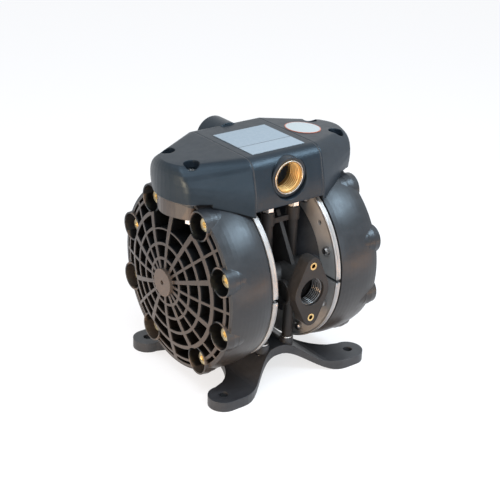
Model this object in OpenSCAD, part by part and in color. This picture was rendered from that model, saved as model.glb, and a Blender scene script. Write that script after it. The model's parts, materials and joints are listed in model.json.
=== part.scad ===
// Compact air-operated double-diaphragm pump.
// X runs along the diaphragm shaft, -Y is the suction side, +Z is up and Z = 0 is the floor.

/* [Layout] */
// Height of the clamp rings' underside above the floor
ring_clear = 13; // [12:0.5:16]
// Distance between the inner faces of the two steel clamp rings
centre_gap = 53; // [51:1:60]
// Outer radius of the clamp rings
ring_r = 68; // [66:0.5:71]

/* [Clamp rings] */
// Sheet thickness of a ring
ring_t = 2; // [1.5:0.1:3]
// Radial width of a ring
ring_w = 18; // [16:0.5:19]
// Thickness of the rolled outer lip
lip_t = 1.5; // [1:0.1:2]
// Length of the rolled lip along the shaft
lip_w = 4; // [3:0.1:5.2]
// Gap between the upper and the lower half of a ring
ring_split = 3; // [1:0.5:5]
// Radius of the small plain holes between the bolts
tell_hole_r = 1.9; // [1:0.1:3]

/* [Cover bolts] */
// Distance from the ring's outer edge to the bolt circle
bolt_inset = 7.8; // [7:0.1:9]
// Angle of the bolts next to the horizontal plane
near_bolt_a = 20; // [17:0.5:22]
// Angle of the bolts next to the vertical plane
far_bolt_a = 60; // [57:0.5:62]
// Radius of a bolt shank
bolt_r = 3; // [2.5:0.1:3.3]
// Radius of a bolt head
bolt_head_r = 4.7; // [4.2:0.1:6]
// Height of a bolt head
bolt_head_h = 4; // [3:0.2:5]
// How far a bolt stands through the ring
bolt_tip = 3.5; // [2:0.5:6]

/* [Covers] */
// Depth of a cover from its joint to the edge of its ribbed face
cover_w = 33.5; // [32:0.1:40]
// Width of the rim round the ribbed face
rim_w = 2; // [1.6:0.1:3]
// How far the skirt bellies out past the clamp ring
belly = 2.2; // [1:0.1:3.5]
// Rise of the ribbed dome from its edge to its centre
dome_rise = 10.5; // [7:0.5:14]
// Radius of the hub disc
hub_r = 10.4; // [8:0.1:12]
// How far the hub disc stands out of the dome
hub_proud = 2.2; // [1:0.1:4]
// Radius of a bolt cup
cup_r = 9.7; // [8.5:0.1:10.2]
// Wall of a bolt cup
cup_wall = 1.2; // [1:0.1:2]
// Depth of a bolt cup to the seat of its bolt
cup_depth = 9; // [7:0.5:14]
// Thickness of the pressure wall behind the ribs
pressure_wall = 4; // [3:0.2:6]
// Depth of the air chamber behind a diaphragm
air_depth = 15.5; // [14:0.5:16]
// Width of a thin rib
rib_w = 2; // [1.2:0.1:2.6]
// Width of a main rib at the rim
main_rib_w = 4.6; // [3:0.1:6]

/* [Fluid chambers] */
// Distance from the ring's inner edge in to the chamber
chamber_inset = 1.5; // [1:0.1:3]
// Wall of a chamber
chamber_wall = 3; // [2.5:0.1:4]
// Thickness of the clamped flange of a chamber
flange_t = 3.5; // [3:0.1:5]
// Distance from a ring's inner face back to the bottom of its chamber
chamber_depth = 6.5; // [5.6:0.1:7.5]
// Thickness of a diaphragm
bead_t = 2.5; // [2:0.1:3.5]

/* [Shaft] */
// Radius of the diaphragm shaft
shaft_r = 7; // [6:0.1:8]
// Radius of the shaft's threaded ends
stud_end_r = 5; // [4:0.1:5.5]
// Travel of the shaft each way
stroke = 5; // [3:0.5:6]
// Radius of the diaphragm plates
plate_r = 26; // [25:0.5:28]
// Thickness of a fluid-side plate
inner_plate_t = 3.5; // [2.5:0.1:4]
// Thickness of an air-side plate
outer_plate_t = 3.5; // [2:0.1:4]
// Height of a shaft nut
shaft_nut_h = 5; // [4:0.1:6]
// Wall of a shaft bush
bush_wall = 2.5; // [2:0.1:3]
// Length of a shaft bush
bush_len = 8.5; // [6:0.5:11]
// Radial running clearance
run_clear = 0.06; // [0.03:0.01:0.09]
// Radius of the pilot rod
pilot_r = 3; // [2.5:0.1:3.5]
// Height of the pilot rod above the shaft
pilot_z = 20; // [19:0.5:21]

/* [Manifolds] */
// Distance from the ring's inner edge in to a manifold pipe's centre
pipe_inset = 8; // [7.5:0.1:8.5]
// Outer radius of a manifold pipe
pipe_r = 11.5; // [11:0.1:12.5]
// Bore radius of a manifold pipe
pipe_bore_r = 8.5; // [8:0.1:9]
// Height of the ports above the shaft
port_lift = 1.5; // [0:0.5:3]
// How far the port faces stand out past the rings
port_proud = 5; // [3:0.5:9]
// Thickness of a port flange
port_flange_t = 10; // [8:0.5:12]
// Radius of a port's round boss
port_boss_r = 15; // [14:0.1:17]
// Thread radius of a port
port_r = 10.4; // [9:0.1:11]
// Depth of a port thread
port_depth = 15; // [12:1:17]
// Distance from a port's centre to its flange inserts
insert_z = 20; // [19:0.5:23]
// Outer radius of a flange insert
insert_r = 2.8; // [2.4:0.1:3.2]
// Bore radius of a flange insert
insert_bore_r = 1.65; // [1.2:0.05:2]
// Depth of a flange insert
insert_len = 8; // [6:0.5:8]

/* [Check valves] */
// Length of a valve seat
seat_len = 2.5; // [2:0.1:3]
// Bore radius of a valve seat
seat_bore_r = 5; // [4:0.1:5.5]
// Radius of a poppet
poppet_r = 6.5; // [6.2:0.1:7]
// Lift of a poppet
poppet_lift = 2.5; // [1.5:0.1:3]
// Radius of a poppet stem
stem_r = 1.5; // [1.2:0.1:1.8]

/* [Columns and stand] */
// Distance of the columns from the middle plane
column_x = 11.3; // [10.5:0.1:12]
// Distance of the columns from the shaft
column_y = 33.5; // [32:0.5:35]
// Radius of a column's upper collar
collar_r = 5; // [4.6:0.1:5.4]
// Length of a column's upper collar
collar_h = 10; // [8:0.5:14]
// Gap between the columns and the valve block
block_gap = 7; // [6:0.5:9]
// Height of the stand's crown above the rings' underside
crown_lift = 9.5; // [8:0.5:11]
// Thickness of the stand's crown
arch_t = 7; // [6:0.5:8]
// Height of the post seats above the stand's crown
post_h = 3.5; // [1:0.5:5]
// Distance from the middle plane to the foot of a leg, on top
leg_top_x = 35; // [34:0.5:37]
// Distance from the middle plane to the foot of a leg, underneath
leg_under_x = 42; // [40:0.5:44]
// Half of the stand's width at the shaft plane
waist_x = 31.5; // [28:0.5:36]
// Half of the stand's depth at the middle plane
waist_y = 38.5; // [38:0.5:42]
// Distance from the middle plane to the mounting holes
foot_x = 58.7; // [57.5:0.1:66]
// Distance from the shaft plane to the mounting holes
foot_y = 50.7; // [50.5:0.1:54]
// Radius of a foot
foot_r = 11.5; // [11:0.1:12.5]
// Thickness of a foot
foot_t = 7.5; // [5:0.5:9]
// Radius of the mounting holes
foot_hole_r = 3.5; // [2.5:0.1:4.5]

/* [Air valve] */
// Height of the valve block
block_h = 36; // [34:0.1:40]
// Depth of the valve block
block_d = 80; // [78:1:84]
// Width of the valve block
block_w = 58.4; // [57.6:0.2:60]
// How far the block's front leans out towards its underside
front_lean = 4.4; // [2:0.1:4.8]
// Height of the air bore above the block's underside
air_z = 19; // [18.5:0.1:19.5]
// Height of the valve spool above the air inlet
spool_rise = 3.5; // [3:0.1:4]
// Outer radius of the valve sleeve
sleeve_r = 9; // [8.6:0.1:9.4]
// Bore radius of the valve sleeve
spool_r = 6.2; // [5.8:0.1:6.6]
// Half of the spool's length
spool_half = 23; // [22.6:0.1:23.1]
// Radius of the air ways from the valve to the covers
way_r = 2.5; // [2:0.1:2.7]
// Travel of the spool each way
spool_travel = 3; // [2:0.5:4]
// Thickness of a cap gasket
gasket_t = 0.8; // [0.5:0.1:1.2]
// Outer radius of the brass air insert
air_insert_r = 12.2; // [12:0.1:13.5]
// Thread radius of the air ports
air_port_r = 10.8; // [9:0.1:11]
// Length of the brass air insert
air_insert_len = 15; // [12:0.5:18]
// Outer radius of the air inlet boss
inlet_boss_r = 14.6; // [14.2:0.1:16]
// Outer radius of the exhaust boss
exhaust_boss_r = 14.6; // [14:0.1:15.4]
// How far the inlet boss stands out of the block
inlet_proud = 1.5; // [1:0.1:4]
// Length of the exhaust boss behind the block
exhaust_len = 11.5; // [10:0.5:24]
// Height of the exhaust above the air inlet
exhaust_lift = 4; // [0:0.5:4.5]

/* [Caps] */
// Distance from the middle plane to the cap's end at the parting line
cap_reach = 79; // [77:0.5:82]
// Half of the cap's width at its end, on the parting line
cap_half = 26; // [25:0.5:29]
// Half of the cap's width at its end, on top
cap_top_half = 15; // [13:0.5:18]
// How far a cap's top falls towards its end
cap_fall = 3; // [1:0.5:5]
// Drop from the rings' top to the parting line
parting_drop = 2; // [1:0.5:3]
// Height of the duct under a cap
duct_h = 13; // [11:0.5:14]
// Distance of the cap screws from the cap's end
cap_screw_inset = 15; // [14:0.5:16]
// Room between a cap screw's nut and the nearest bolt cup
nut_room = 0.2; // [0.1:0.1:1]
// Radius of a cap screw recess
recess_r = 5.6; // [5.2:0.1:6]
// Depth of a cap screw recess
recess_depth = 8; // [6:0.5:12]
// Radius of a small screw
screw_r = 2.5; // [2:0.1:2.8]

/* [Labels] */
// Width of the bare name plate
plate_w = 46; // [38:1:48]
// Depth of the bare name plate
plate_d = 47; // [36:1:48]
// Radius of the round sticker
sticker_r = 13.5; // [9:0.5:14]

/* [Hidden] */

plastic = "#222428";
steel = "#c4c7ca";
brass = "#c9a352";
rubber = "#151515";

washer_t = 1;
gap = 0.3;      // free gap between parts that don't touch
fit = 0.05;     // radial gap between a fastener and its hole
bore_fn = 64;

axis_h = ring_r + ring_clear;
stand_drop = ring_r - crown_lift;
parting_z = ring_r - parting_drop;
port_face_y = ring_r + port_proud;

// Positions along the shaft, measured from the middle plane
ring_x = centre_gap / 2;
flange_x = ring_x + ring_t;
bead_x = flange_x + flange_t;
seat_x = bead_x + bead_t;
face_x = bead_x + cover_w;
chamber_x = ring_x - chamber_depth;
core_x = chamber_x - chamber_wall;
pipe_end_x = core_x;
shoulder_x = bead_x - inner_plate_t;
nut_x = seat_x + outer_plate_t;

// Radii round the shaft
ring_in_r = ring_r - ring_w;
clamp_r = ring_r - lip_t - 0.3;
bolt_circle_r = ring_r - bolt_inset;
cover_r = ring_r + belly;
dome_r = ring_r - 1;
web_in_r = dome_r - rim_w / 2;
chamber_r = ring_in_r - chamber_inset;
pipe_y = ring_in_r - pipe_inset;
bush_r = shaft_r + bush_wall;
seal_w = 2;
bolt_angles = [
    for (half = [0, 180]) for (a = [-far_bolt_a, -near_bolt_a, near_bolt_a, far_bolt_a]) half + a
];
mid_bolt_a = (near_bolt_a + far_bolt_a) / 2;
tell_angles = [for (half = [0, 180]) for (a = [-mid_bolt_a, mid_bolt_a]) half + a];

// Heights above the shaft
block_z = ring_r - 9.5;
air_axis_z = block_z + air_z;
block_top = block_z + block_h;
column_top = block_z - block_gap;
column_base = -stand_drop + post_h;
cap_bottom = block_z - 4.5;
saddle_r = cover_r + gap;
cap_top = block_top - cap_fall;
cap_screw_x = cap_reach - cap_screw_inset;
nut_across = 3.2 * screw_r;
cap_screw_y = bolt_circle_r * cos(far_bolt_a) - cup_r - cup_wall - nut_across / 2 - nut_room;
duct_bottom = parting_z - duct_h;
floor_z = -axis_h;
foot_top = floor_z + foot_t;

function dome_x(r) = face_x + dome_rise * (1 - pow(r / dome_r, 2));
hub_x = dome_x(0) + hub_proud;
cup_mouth_x = dome_x(bolt_circle_r) + 0.6;
cup_seat_x = cup_mouth_x - cup_depth;

module at_axis() translate([0, 0, axis_h]) children();
module along_x() rotate([90, 0, 90]) children();
module upright() rotate([-90, 0, 0]) rotate([0, 0, -90]) children();
module along_y() rotate([-90, 0, 0]) children();
module on_side(side) if (side > 0) children(); else mirror([1, 0, 0]) children();
module both_sides() for (side = [-1, 1]) on_side(side) children();
module both_ends() for (end = [-1, 1]) if (end < 0) children(); else mirror([0, 1, 0]) children();
module rod(r, from, to) translate([0, 0, from]) cylinder(r = r, h = to - from, $fn = bore_fn);
module tube(r, bore, from, to) difference() {
    rod(r, from, to);
    rod(bore, from - 1, to + 1);
}
module at_bolts() for (a = bolt_angles) rotate([0, 0, a]) translate([bolt_circle_r, 0, 0]) children();
module hex(across, from, to) translate([0, 0, from])
    cylinder(d = across / cos(30), h = to - from, $fn = 6);

// ---- Covers ----
ring_radii = [for (share = [0.14, 0.35, 0.574, 0.8, 1.02]) hub_r + share * (bolt_circle_r - hub_r)];
ring_widths = [rib_w, rib_w, rib_w + 0.2, rib_w + 1, rib_w + 0.2];
thin_angles = [for (half = [0, 180]) for (a = [0, mid_bolt_a, -mid_bolt_a]) half + a];
open_from_r = ring_radii[2];
hub_hole_r = 1.7;
hub_depth = 4;

// Straight rib from the hub to the rim, wider outwards
module web_rib(inner_w, outer_w) polygon([
    [0, -inner_w / 2], [dome_r, -outer_w / 2], [dome_r, outer_w / 2], [0, inner_w / 2]
]);

// Open sector under the cap, where the face has no rings
module open_sector() difference() {
    polygon([
        [0, 0], 2 * ring_r * [cos(far_bolt_a), sin(far_bolt_a)], [0, 2 * ring_r],
        -2 * ring_r * [cos(far_bolt_a), -sin(far_bolt_a)]
    ]);
    circle(r = open_from_r, $fn = bore_fn);
}

// Plan of the ribbed face
module web_plan() {
    difference() {
        union() {
            for (i = [0 : len(ring_radii) - 1]) difference() {
                circle(r = ring_radii[i] + ring_widths[i] / 2, $fn = bore_fn);
                circle(r = ring_radii[i] - ring_widths[i] / 2, $fn = bore_fn);
            }
            difference() {
                circle(r = dome_r, $fn = bore_fn);
                circle(r = dome_r - rim_w, $fn = bore_fn);
            }
        }
        open_sector();
    }
    for (a = thin_angles) rotate([0, 0, a]) web_rib(rib_w, rib_w);
    for (a = concat(bolt_angles, [90, 270])) rotate([0, 0, a]) web_rib(rib_w, main_rib_w);
}

// Half profile of the space inside the cover's skirt, above the pressure wall
module web_space(margin) polygon(concat(
    [
        [0, seat_x + air_depth + 2 * pressure_wall],
        [0.63 * chamber_r, seat_x + 0.8 * air_depth + 2.2 * pressure_wall],
        [chamber_r - pressure_wall, seat_x + 2.5 * pressure_wall],
        [web_in_r + margin, seat_x + 2 * pressure_wall],
        [web_in_r + margin, face_x]
    ],
    [for (i = [0 : 8]) let (r = dome_r * (1 - i / 8)) [r, dome_x(r)]]
));

// Half profile of the air chamber
module air_space() polygon([
    [0, seat_x - bead_t - 1], [chamber_r, seat_x - bead_t - 1], [chamber_r, seat_x],
    [0.95 * chamber_r, seat_x + 0.23 * air_depth], [0.63 * chamber_r, seat_x + 0.8 * air_depth],
    [0.3 * chamber_r, seat_x + air_depth], [0, seat_x + air_depth]
]);

// Half profile of the skirt's outside
module skirt_form() polygon(concat(
    [[0, bead_x]],
    [for (i = [0 : 10]) let (t = i / 10, x = bead_x + t * cover_w)
        [cover_r - belly * pow(abs(2 * t - 1), 2.4), x]],
    [[0, face_x]]
));

// Tapered boss outside a bolt cup, which runs out to a point on the skirt
module cup_boss_form() polygon([
    [0, seat_x + 8], [cup_r - 1.5, seat_x + 8], [cup_r + cup_wall + 0.6, cup_mouth_x - 5],
    [cup_r + cup_wall, cup_mouth_x - 0.6], [0, cup_mouth_x - 0.6]
]);

module cover() {
    difference() {
        union() {
            difference() {
                union() {
                    rotate_extrude($fn = 96) skirt_form();
                    at_bolts() rotate_extrude($fn = 32) cup_boss_form();
                }
                rotate_extrude($fn = 96) web_space(0);
                translate([0, 0, face_x - 0.01]) cylinder(r = dome_r - rim_w, h = dome_rise, $fn = 96);
            }
            intersection() {
                linear_extrude(height = 2 * face_x) web_plan();
                rotate_extrude($fn = 96) web_space(0.5);
            }
            at_bolts() rod(cup_r - 0.7, seat_x + 5, cup_mouth_x);
            at_bolts() rod(cup_r + cup_wall, cup_seat_x - cup_wall, cup_mouth_x);
            rod(hub_r, seat_x + air_depth + pressure_wall, hub_x);
            duct();
        }
        rotate_extrude($fn = 96) air_space();
        rod(clamp_r + 0.2, bead_x - 1, seat_x);
        at_bolts() rod(cup_r, cup_seat_x, hub_x + 10);
        at_bolts() rod(bolt_r + gap, bead_x - 1, hub_x);
        rod(hub_hole_r, hub_x - hub_depth, hub_x + 1);
        upright() both_ends() translate([cap_screw_x, -cap_screw_y, 0])
            rod(screw_r + fit, duct_bottom - 1, cover_r);
        upright() cover_way();
    }
}

// Plan of a cap's end: straight sides, round corners and a bowed front
module end_plan(reach, half, bow, round_r, back) hull() {
    for (y = [-half + round_r, half - round_r]) translate([reach - bow - round_r, y])
        circle(r = round_r, $fn = 32);
    polygon(concat(
        [[back, half], [back, -half]],
        [for (i = [-4 : 4]) let (t = i / 4) [reach - bow * pow(t, 2), t * (half - 0.8 * round_r)]]
    ));
}

// Air duct that stands out of the cover's face under the cap, with a narrow run back to the air chamber
duct_back = face_x - 8;
way_wall = 2;
way_x = cap_screw_x + 3 * way_r;
way_turn_z = duct_bottom + way_wall + way_r;
way_down_x = seat_x + way_wall + way_r;
way_top_z = parting_z + 12;
module duct() upright() {
    translate([0, 0, duct_bottom]) linear_extrude(height = duct_h)
        end_plan(cap_reach - 2, cap_half - 4, 5, 9, duct_back);
    translate([way_down_x, -way_r - way_wall, duct_bottom])
        cube([duct_back - way_down_x + 1, 2 * (way_r + way_wall), 2 * (way_r + way_wall)]);
}

// Air way from the parting line through the duct and down into the air chamber
module cover_way() {
    translate([way_x, 0, 0]) rod(way_r, way_turn_z, parting_z + 1);
    translate([0, 0, way_turn_z]) along_x() rod(way_r, way_down_x, way_x + 1);
    translate([way_down_x, 0, 0]) rod(way_r, 0.85 * chamber_r, way_turn_z + 1);
}

// ---- Bolts and clamp rings ----
module cover_bolts() at_bolts() {
    rod(bolt_r, ring_x - bolt_tip + 1, cup_seat_x);
    translate([0, 0, ring_x - bolt_tip]) cylinder(r1 = bolt_r - 1, r2 = bolt_r, h = 1, $fn = 32);
    difference() {
        rod(bolt_head_r, cup_seat_x, cup_seat_x + bolt_head_h);
        hex(0.9 * bolt_head_r, cup_seat_x + bolt_head_h / 2, cup_seat_x + bolt_head_h + 1);
    }
}

module ring_form() polygon([
    [ring_in_r, ring_x], [ring_r, ring_x], [ring_r, ring_x + lip_w], [ring_r - lip_t, ring_x + lip_w],
    [ring_r - lip_t, flange_x], [ring_in_r, flange_x]
]);

// Upper half of a ring for half = 1, lower half for half = -1
module half_ring(half) difference() {
    rotate_extrude($fn = 96) ring_form();
    at_bolts() rod(bolt_r + fit, ring_x - 1, flange_x + 1);
    for (a = tell_angles) rotate([0, 0, a]) translate([bolt_circle_r, 0, 0])
        rod(tell_hole_r, ring_x - 1, flange_x + 1);
    translate([-ring_r - 1, half > 0 ? -ring_r - 1 : -ring_split / 2, ring_x - 1])
        cube([2 * ring_r + 2, ring_r + 1 + ring_split / 2, lip_w + 2]);
}

// ---- Fluid chambers ----
// Half profile of a chamber: clamped flange, dished wall and the face towards the core
module chamber_form() polygon([
    [0, core_x], [chamber_r - 16.5, core_x], [ring_in_r - gap, ring_x], [ring_in_r - gap, flange_x],
    [clamp_r, flange_x], [clamp_r, bead_x], [0, bead_x]
]);

module chamber_space() polygon([
    [0, chamber_x], [chamber_r - 17.5, chamber_x], [chamber_r - 3.5, ring_x + 1.5],
    [chamber_r, bead_x], [chamber_r, bead_x + 1], [0, bead_x + 1]
]);

module chamber() difference() {
    union() {
        rotate_extrude($fn = 96) chamber_form();
        for (y = [-pipe_y, pipe_y]) translate([y, port_lift, 0]) rod(pipe_r, pipe_end_x, ring_x - gap);
    }
    rotate_extrude($fn = 96) chamber_space();
    rod(shaft_r + run_clear, core_x - 1, chamber_x + 1);
    rod(bush_r, core_x - 1, core_x + seal_w);
    translate([0, pilot_z, 0]) rod(pilot_r + run_clear, core_x - 1, chamber_x + 1);
    for (y = [-pipe_y, pipe_y]) translate([y, port_lift, 0])
        rod(seat_bore_r + 1, pipe_end_x - 1, bead_x);
    at_bolts() rod(bolt_r + gap, flange_x - 1, bead_x + 1);
}

// ---- Pump core ----
// Rhombus outline of a port flange
module flange_outline() hull() {
    circle(r = port_boss_r, $fn = 64);
    for (z = [-insert_z, insert_z]) translate([0, z]) circle(r = insert_r + 3.5, $fn = 32);
}

core_boss_r = bush_r + 3.5;
pilot_boss_r = pilot_r + 3;
neck_r = port_r + 2.6;
cross_boss_r = 9;
column_foot = port_lift + 6;
gusset_w = 3.2;
web_w = 20;
web_t = 6;
split_y = column_y - 8;

// Pipe, neck, flange, columns and braces of the suction manifold
module manifold_form() {
    translate([-web_w / 2, -pipe_y, -web_t / 2]) cube([web_w, pipe_y - split_y, web_t]);
    translate([0, -pipe_y, port_lift]) along_x() rod(pipe_r, -pipe_end_x, pipe_end_x);
    translate([0, 0, port_lift]) along_y() rod(neck_r, -port_face_y + port_flange_t - 1, -pipe_y);
    translate([0, -port_face_y + port_flange_t, port_lift]) rotate([90, 0, 0])
        linear_extrude(height = port_flange_t) flange_outline();
    translate([0, -port_face_y + port_flange_t + 6, port_lift - 3]) along_x()
        rod(cross_boss_r, -neck_r - 2, neck_r + 2);
    for (x = [-column_x, column_x]) translate([x, -column_y, 0]) {
        rod(collar_r, column_top - collar_h, column_top);
        translate([0, 0, column_foot])
            cylinder(
                r1 = collar_r - 0.8, r2 = collar_r - 1, h = column_top - collar_h - column_foot, $fn = 48
            );
        rod(screw_r + 1.3, column_base + washer_t, column_foot);
    }
    translate([-gusset_w / 2, 0, 0]) rotate([90, 0, 90]) linear_extrude(height = gusset_w) polygon([
        [-column_y + 3, column_top - 2], [-split_y, column_top - 2], [-split_y, core_boss_r - 4],
        [-pipe_y, 0], [-pipe_y - 9.5, port_lift + neck_r - 1.5]
    ]);
    translate([-column_x, -column_y - 1.5, column_top - collar_h]) cube([2 * column_x, 3, 4]);
}

module manifold() difference() {
    manifold_form();
    translate([0, -pipe_y, port_lift]) along_x() rod(pipe_bore_r, -pipe_end_x - 1, pipe_end_x + 1);
    translate([0, 0, port_lift]) along_y() {
        rod(port_r, -port_face_y - 1, -port_face_y + port_depth);
        rod(port_r - 3, -port_face_y, -pipe_y);
    }
    for (z = [-insert_z, insert_z]) translate([0, 0, port_lift + z])
        along_y() rod(insert_r, -port_face_y - 1, -port_face_y + insert_len);
    both_sides() translate([0, -port_face_y + port_flange_t + 6, port_lift - 3]) along_x()
        rod(cross_boss_r - 1.6, neck_r - 1, neck_r + 3);
    for (x = [-column_x, column_x]) translate([x, -column_y, 0]) {
        rod(screw_r, column_top - collar_h - 4, column_top + 1);
        rod(screw_r, column_base, column_base + base_grip + 1);
    }
}

// Shaft barrel, pilot barrel and the web that joins the two manifolds
module core() difference() {
    union() {
        along_x() rod(core_boss_r, -core_x, core_x);
        translate([0, 0, pilot_z]) along_x() rod(pilot_boss_r, -core_x, core_x);
        translate([-web_w / 2, -split_y, -web_t / 2]) cube([web_w, 2 * split_y, web_t]);
        translate([-web_t / 2, -core_boss_r + 1, 0]) cube([web_t, 2 * core_boss_r - 2, pilot_z]);
    }
    along_x() rod(shaft_r + 1, -core_x - 1, core_x + 1);
    both_sides() along_x() rod(bush_r, core_x - bush_len, core_x + 1);
    translate([0, 0, pilot_z]) along_x() rod(pilot_r + run_clear, -core_x - 1, core_x + 1);
}

module inserts() both_ends() for (z = [-insert_z, insert_z]) translate([0, 0, port_lift + z])
    along_y() tube(insert_r, insert_bore_r, -port_face_y, -port_face_y + insert_len);

// ---- Diaphragms and shaft ----
module diaphragm() rotate_extrude($fn = 96) polygon([
    [stud_end_r + 0.1, bead_x - 0.1], [plate_r, bead_x - 0.1],
    [(plate_r + chamber_r) / 2, bead_x + 2.4],
    [chamber_r - 2, bead_x], [clamp_r - 0.5, bead_x], [clamp_r - 0.5, seat_x], [chamber_r - 2, seat_x],
    [(plate_r + chamber_r) / 2, seat_x + 2.4], [plate_r, seat_x], [stud_end_r + 0.1, seat_x]
]);

module diaphragm_with_holes() difference() {
    diaphragm();
    at_bolts() rod(bolt_r + gap, bead_x - 1, seat_x + 1);
}

module shaft() along_x() {
    rod(shaft_r, -shoulder_x, shoulder_x);
    rod(stud_end_r, shoulder_x, nut_x + shaft_nut_h);
    rod(stud_end_r, -nut_x - shaft_nut_h, -shoulder_x);
}

module inner_plate() tube(plate_r, stud_end_r + fit, shoulder_x, bead_x - 0.1);

module outer_plate() difference() {
    rotate_extrude($fn = 64) polygon([
        [stud_end_r + fit, seat_x], [plate_r, seat_x], [plate_r - 1, seat_x + 1.5],
        [plate_r - 8, nut_x], [stud_end_r + fit, nut_x]
    ]);
    rod(stud_end_r + fit, seat_x - 1, nut_x + 1);
}

module shaft_nut() difference() {
    hex(2 * stud_end_r + 6, nut_x, nut_x + shaft_nut_h);
    rod(stud_end_r + fit, nut_x - 1, nut_x + shaft_nut_h + 1);
}

module bush() tube(bush_r - 0.02, shaft_r + run_clear, core_x - bush_len, core_x);
module shaft_seal() tube(bush_r - 0.1, shaft_r + run_clear, core_x + 0.1, core_x + seal_w - 0.1);

pilot_half = bead_x - inner_plate_t - stroke / 2 - 0.1;
pilot_groove = 1.2;
pilot_neck_r = pilot_r - 1;

module pilot() difference() {
    along_x() rod(pilot_r, -pilot_half, pilot_half);
    for (x = [-6, 6]) along_x() difference() {
        rod(pilot_r + 1, x - pilot_groove, x + pilot_groove);
        rod(pilot_neck_r, x - pilot_groove - 1, x + pilot_groove + 1);
    }
}

module pilot_rings() for (x = [-6, 6]) along_x()
    tube(pilot_r, pilot_neck_r + 0.02, x - pilot_groove + 0.1, x + pilot_groove - 0.1);

// ---- Check valves: kind = 1 opens outwards (suction), kind = -1 opens inwards (discharge) ----
cage_len = 3;
stack_len = 14;
valve_from = pipe_end_x - stack_len;
arm_w = 2;

// Places a valve drawn along +Z from its seat at 0; its whole stack is stack_len long
module at_valve(side, kind) translate([0, -kind * pipe_y, port_lift]) on_side(side)
    translate([kind > 0 ? valve_from : pipe_end_x, 0, 0]) rotate([0, kind * 90, 0]) children();

module valve_seat() tube(pipe_bore_r - 0.02, seat_bore_r, 0, seat_len);
module valve_cage() translate([0, 0, stack_len - cage_len]) {
    tube(pipe_bore_r - 0.02, poppet_r + 0.6, 0, cage_len);
    difference() {
        union() {
            rod(stem_r + 1.2, 0, cage_len);
            for (a = [0, 120, 240]) rotate([0, 0, a]) translate([stem_r + 0.8, -arm_w / 2, 0])
                cube([poppet_r - stem_r + 0.2, arm_w, cage_len]);
        }
        rod(stem_r + run_clear, -1, cage_len + 1);
    }
}
poppet_t = 1.8;
module poppet() {
    rod(poppet_r, seat_len, seat_len + poppet_t);
    rod(stem_r, seat_len + poppet_t, stack_len - 0.5);
}

// Closed coil of square wire, as a sweep of rings
spring_turns = 3.5;
spring_steps = 12;
spring_r = 3.8;
wire = 0.7;
function spring_ring(t, h, z) = [for (k = [0 : 3]) let (
        a = 360 * t * spring_turns,
        u = wire / 2 * (k == 0 || k == 3 ? -1 : 1), v = wire / 2 * (k < 2 ? -1 : 1)
    ) [(spring_r + u) * cos(a), (spring_r + u) * sin(a), z + wire / 2 + t * (h - wire) + v]];
module valve_spring() {
    n = spring_turns * spring_steps;
    z = seat_len + poppet_t + 0.05;
    length = stack_len - cage_len - 0.1 - seat_len - poppet_t;
    points = [for (i = [0 : n]) each spring_ring(i / n, length, z)];
    sides = [for (i = [0 : n - 1]) for (k = [0 : 3])
        [4 * i + k, 4 * i + (k + 1) % 4, 4 * i + 4 + (k + 1) % 4, 4 * i + 4 + k]];
    polyhedron(
        points = points,
        faces = concat([[3, 2, 1, 0]], sides, [[4 * n, 4 * n + 1, 4 * n + 2, 4 * n + 3]])
    );
}

// ---- Air valve ----
round_front = 11;
round_back = 8;
plug_t = 3;

// Side outline of the block and caps in the plane of depth and height
lean_top = block_h - round_front;
module block_outline(bottom) hull() {
    polygon(concat(
        [[block_d / 2, bottom + 1], [block_d / 2, bottom], [-block_d / 2 - front_lean, bottom]],
        [for (i = [0 : 8]) let (t = i / 8)
            [-block_d / 2 - front_lean * (1 - t * t), block_z + t * lean_top]]
    ));
    translate([-block_d / 2 + round_front, block_top - round_front]) circle(r = round_front, $fn = 48);
    translate([block_d / 2 - round_back, block_top - round_back]) circle(r = round_back, $fn = 32);
}

module at_air() translate([0, 0, air_axis_z]) children();
module at_exhaust() translate([0, 0, air_axis_z + exhaust_lift]) children();
spool_z = air_axis_z + spool_rise;
module at_spool() translate([0, 0, spool_z]) children();

// Ports of the sleeve: the outlets face the front, the vents the back
sleeve_port_r = 1.8;
outlet_x = 8;
vent_x = 15;
gallery_y = sleeve_r + way_r / 2;
inlet_way_r = 4.5;
pocket_w = 0.9;
mouth_y = block_d / 2 + inlet_proud;

// Round pocket in the leaning front, which leaves the inlet boss standing in it
module inlet_pocket() at_air() along_y() {
    tube(inlet_boss_r + pocket_w, inlet_boss_r, -block_d, -block_d / 2 + pocket_w);
    rod(inlet_boss_r + pocket_w, -block_d, -mouth_y);
}

module block() difference() {
    union() {
        along_x() translate([0, 0, -block_w / 2])
            linear_extrude(height = block_w) block_outline(block_z);
        at_air() along_y() rod(inlet_boss_r, -mouth_y, -block_d / 2 + round_front);
        at_exhaust() along_y() rod(exhaust_boss_r, block_d / 2 - round_back, block_d / 2 + exhaust_len);
    }
    both_sides() along_x() rod(ring_r + gap, ring_x - gap, block_w);
    at_spool() {
        along_x() rod(sleeve_r, -block_w, block_w);
        both_sides() translate([0, -gallery_y, 0]) along_x()
            rod(way_r, outlet_x - sleeve_port_r, block_w);
        translate([0, gallery_y, 0]) along_x()
            rod(way_r, -vent_x - sleeve_port_r, vent_x + sleeve_port_r);
    }
    inlet_pocket();
    at_air() along_y() rod(air_insert_r, -block_d, -mouth_y + air_insert_len);
    at_air() along_y() rod(inlet_way_r, -block_d / 2, 0);
    at_exhaust() along_y() rod(air_port_r, block_d / 2 + exhaust_len - air_insert_len, block_d);
    at_exhaust() along_y() rod(air_port_r - 3, gallery_y, block_d);
    both_ends() for (x = [-column_x, column_x]) translate([x, -column_y, 0])
        rod(screw_r, block_z - 1, block_z + 8);
}

module air_insert() at_air() along_y()
    tube(air_insert_r - 0.02, air_port_r, -mouth_y - 0.4, -mouth_y + air_insert_len);

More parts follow.
